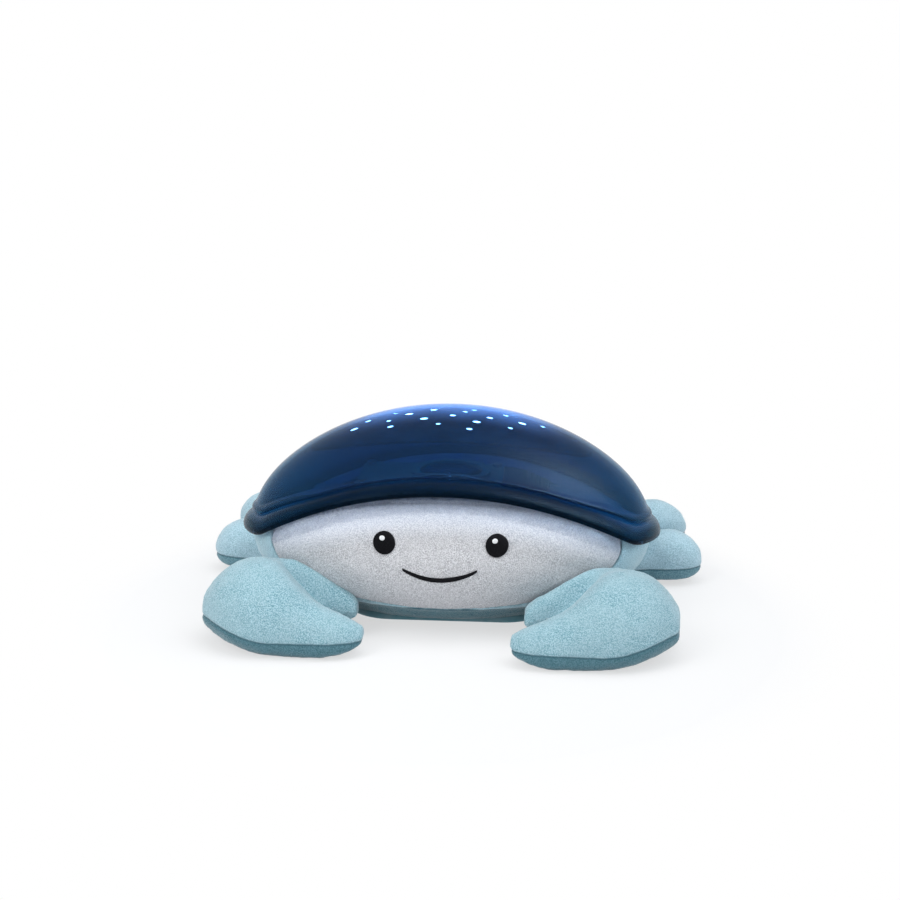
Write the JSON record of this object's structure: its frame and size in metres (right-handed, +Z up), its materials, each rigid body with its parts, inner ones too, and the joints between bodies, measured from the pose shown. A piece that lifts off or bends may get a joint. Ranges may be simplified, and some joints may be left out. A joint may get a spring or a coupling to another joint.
{
  "type": "ocean wave projector",
  "caption": "Stuffed crab night light with a clear domed shell over a lamp, a turning ripple disc, soft claws and legs, rear press buttons and a battery base.",
  "frame": {"origin": "middle of the footprint, on the floor", "axes": "+X to the viewer's right along the shell's length, -Y the way the face looks, +Z up"},
  "size_m": [0.2802, 0.1862, 0.109],
  "materials": {
    "shell_clear": "polished",
    "pan_dark": "matte",
    "window_clear": "gloss",
    "plush_teal": "matte",
    "plush_white": "matte",
    "stitch_black": "satin",
    "plush_aqua": "matte",
    "tub_plastic": "satin",
    "steel": "satin",
    "cell_case": "satin",
    "board_green": "satin",
    "parts_black": "satin",
    "gear_white": "satin",
    "lens_clear": "polished",
    "button_teal": "satin"
  },
  "bodies": {
    "crab": {"shell_dome": "shell_clear", "shell_pan": "pan_dark", "light_mask": "pan_dark", "mask_windows": "window_clear", "plush_body": "plush_teal", "face_panel": "plush_white", "left_eye": "stitch_black", "right_eye": "stitch_black", "smile": "stitch_black", "battery_tub": "tub_plastic", "base_cover": "tub_plastic", "base_screws": "steel", "battery_cells": "cell_case", "contact_plates": "steel", "contact_springs": "steel", "main_board": "board_green", "board_parts": "parts_black", "board_screws": "steel", "speaker": "parts_black", "switch_body": "tub_plastic", "optics_deck": "pan_dark", "deck_screws": "steel", "reflector_cup": "pan_dark", "led_board": "board_green", "led_emitters": "window_clear", "motor": "steel", "motor_screws": "steel", "idler_pin": "steel", "disc_spindle": "steel", "spindle_clip": "steel", "lens_bridge": "tub_plastic", "bridge_screws": "steel", "ripple_lens": "lens_clear", "lens_ring": "tub_plastic", "control_pod": "tub_plastic", "button_board": "board_green", "tact_switches": "parts_black"},
    "ripple_drive": {"disc_gear": "gear_white", "ripple_disc": "lens_clear"},
    "idler": {"idler_gear": "gear_white"},
    "pinion": {"motor_pinion": "gear_white", "motor_shaft": "steel"},
    "left_claw": {"left_claw": "plush_aqua"},
    "right_claw": {"right_claw": "plush_aqua"},
    "left_side_leg": {"left_side_leg": "plush_aqua"},
    "right_side_leg": {"right_side_leg": "plush_aqua"},
    "left_rear_leg": {"left_rear_leg": "plush_aqua"},
    "right_rear_leg": {"right_rear_leg": "plush_aqua"},
    "power_switch": {"switch_knob": "parts_black"},
    "door": {"battery_door": "tub_plastic", "door_screw": "steel"},
    "lamp_button": {"lamp_button": "button_teal"},
    "sound_button": {"sound_button": "button_teal"},
    "volume_down_button": {"volume_down_button": "button_teal"},
    "volume_up_button": {"volume_up_button": "button_teal"}
  },
  "joints": [
    {"name": "disc_spin", "type": "hinge", "parent": "crab", "child": "ripple_drive", "pos_m": [-0.017, 0.00809, 0.0485], "axis": [0, 0, 1], "continuous": true},
    {"name": "idler_spin", "type": "hinge", "parent": "crab", "child": "idler", "pos_m": [-0.02801, 0.02381, 0.0485], "axis": [0, 0, 1], "continuous": true},
    {"name": "pinion_spin", "type": "hinge", "parent": "crab", "child": "pinion", "pos_m": [-0.0354, 0.00352, 0.0485], "axis": [0, 0, 1], "continuous": true},
    {"name": "left_claw_bend", "type": "hinge", "parent": "crab", "child": "left_claw", "pos_m": [-0.09554, -0.03119, 0.012], "axis": [0, 0, 1], "range_deg": [-30, 0], "stiffness_Nm_per_rad": 0.03},
    {"name": "right_claw_bend", "type": "hinge", "parent": "crab", "child": "right_claw", "pos_m": [0.09554, -0.03119, 0.012], "axis": [0, 0, 1], "range_deg": [0, 30], "stiffness_Nm_per_rad": 0.03},
    {"name": "left_side_leg_bend", "type": "hinge", "parent": "crab", "child": "left_side_leg", "pos_m": [-0.09517, 0.04225, 0.0165], "axis": [0, 0, 1], "range_deg": [0, 15], "stiffness_Nm_per_rad": 0.01},
    {"name": "right_side_leg_bend", "type": "hinge", "parent": "crab", "child": "right_side_leg", "pos_m": [0.09517, 0.04225, 0.0165], "axis": [0, 0, 1], "range_deg": [-15, 0], "stiffness_Nm_per_rad": 0.01},
    {"name": "left_rear_leg_bend", "type": "hinge", "parent": "crab", "child": "left_rear_leg", "pos_m": [-0.08411, 0.06085, 0.0245], "axis": [0, 0, 1], "range_deg": [-15, 0], "stiffness_Nm_per_rad": 0.01},
    {"name": "right_rear_leg_bend", "type": "hinge", "parent": "crab", "child": "right_rear_leg", "pos_m": [0.08411, 0.06085, 0.0245], "axis": [0, 0, 1], "range_deg": [0, 15], "stiffness_Nm_per_rad": 0.01},
    {"name": "power_slide", "type": "slide", "parent": "crab", "child": "power_switch", "axis": [1, 0, 0], "range_m": [0, 0.004]},
    {"name": "door_lift_off", "type": "slide", "parent": "crab", "child": "door", "axis": [0, 0, -1], "range_m": [0, 0.03]},
    {"name": "lamp_press", "type": "slide", "parent": "crab", "child": "lamp_button", "axis": [0, -1, 0], "range_m": [0, 0.001], "stiffness_N_per_m": 300, "springref_m": -0.001},
    {"name": "sound_press", "type": "slide", "parent": "crab", "child": "sound_button", "axis": [0, -1, 0], "range_m": [0, 0.001], "stiffness_N_per_m": 300, "springref_m": -0.001},
    {"name": "volume_down_press", "type": "slide", "parent": "crab", "child": "volume_down_button", "axis": [0, -1, 0], "range_m": [0, 0.001], "stiffness_N_per_m": 300, "springref_m": -0.001},
    {"name": "volume_up_press", "type": "slide", "parent": "crab", "child": "volume_up_button", "axis": [0, -1, 0], "range_m": [0, 0.001], "stiffness_N_per_m": 300, "springref_m": -0.001}
  ],
  "couplings": [
    {"joint": "idler_spin", "follows": "disc_spin", "ratio": -1.6667},
    {"joint": "pinion_spin", "follows": "disc_spin", "ratio": 3.3333}
  ]
}
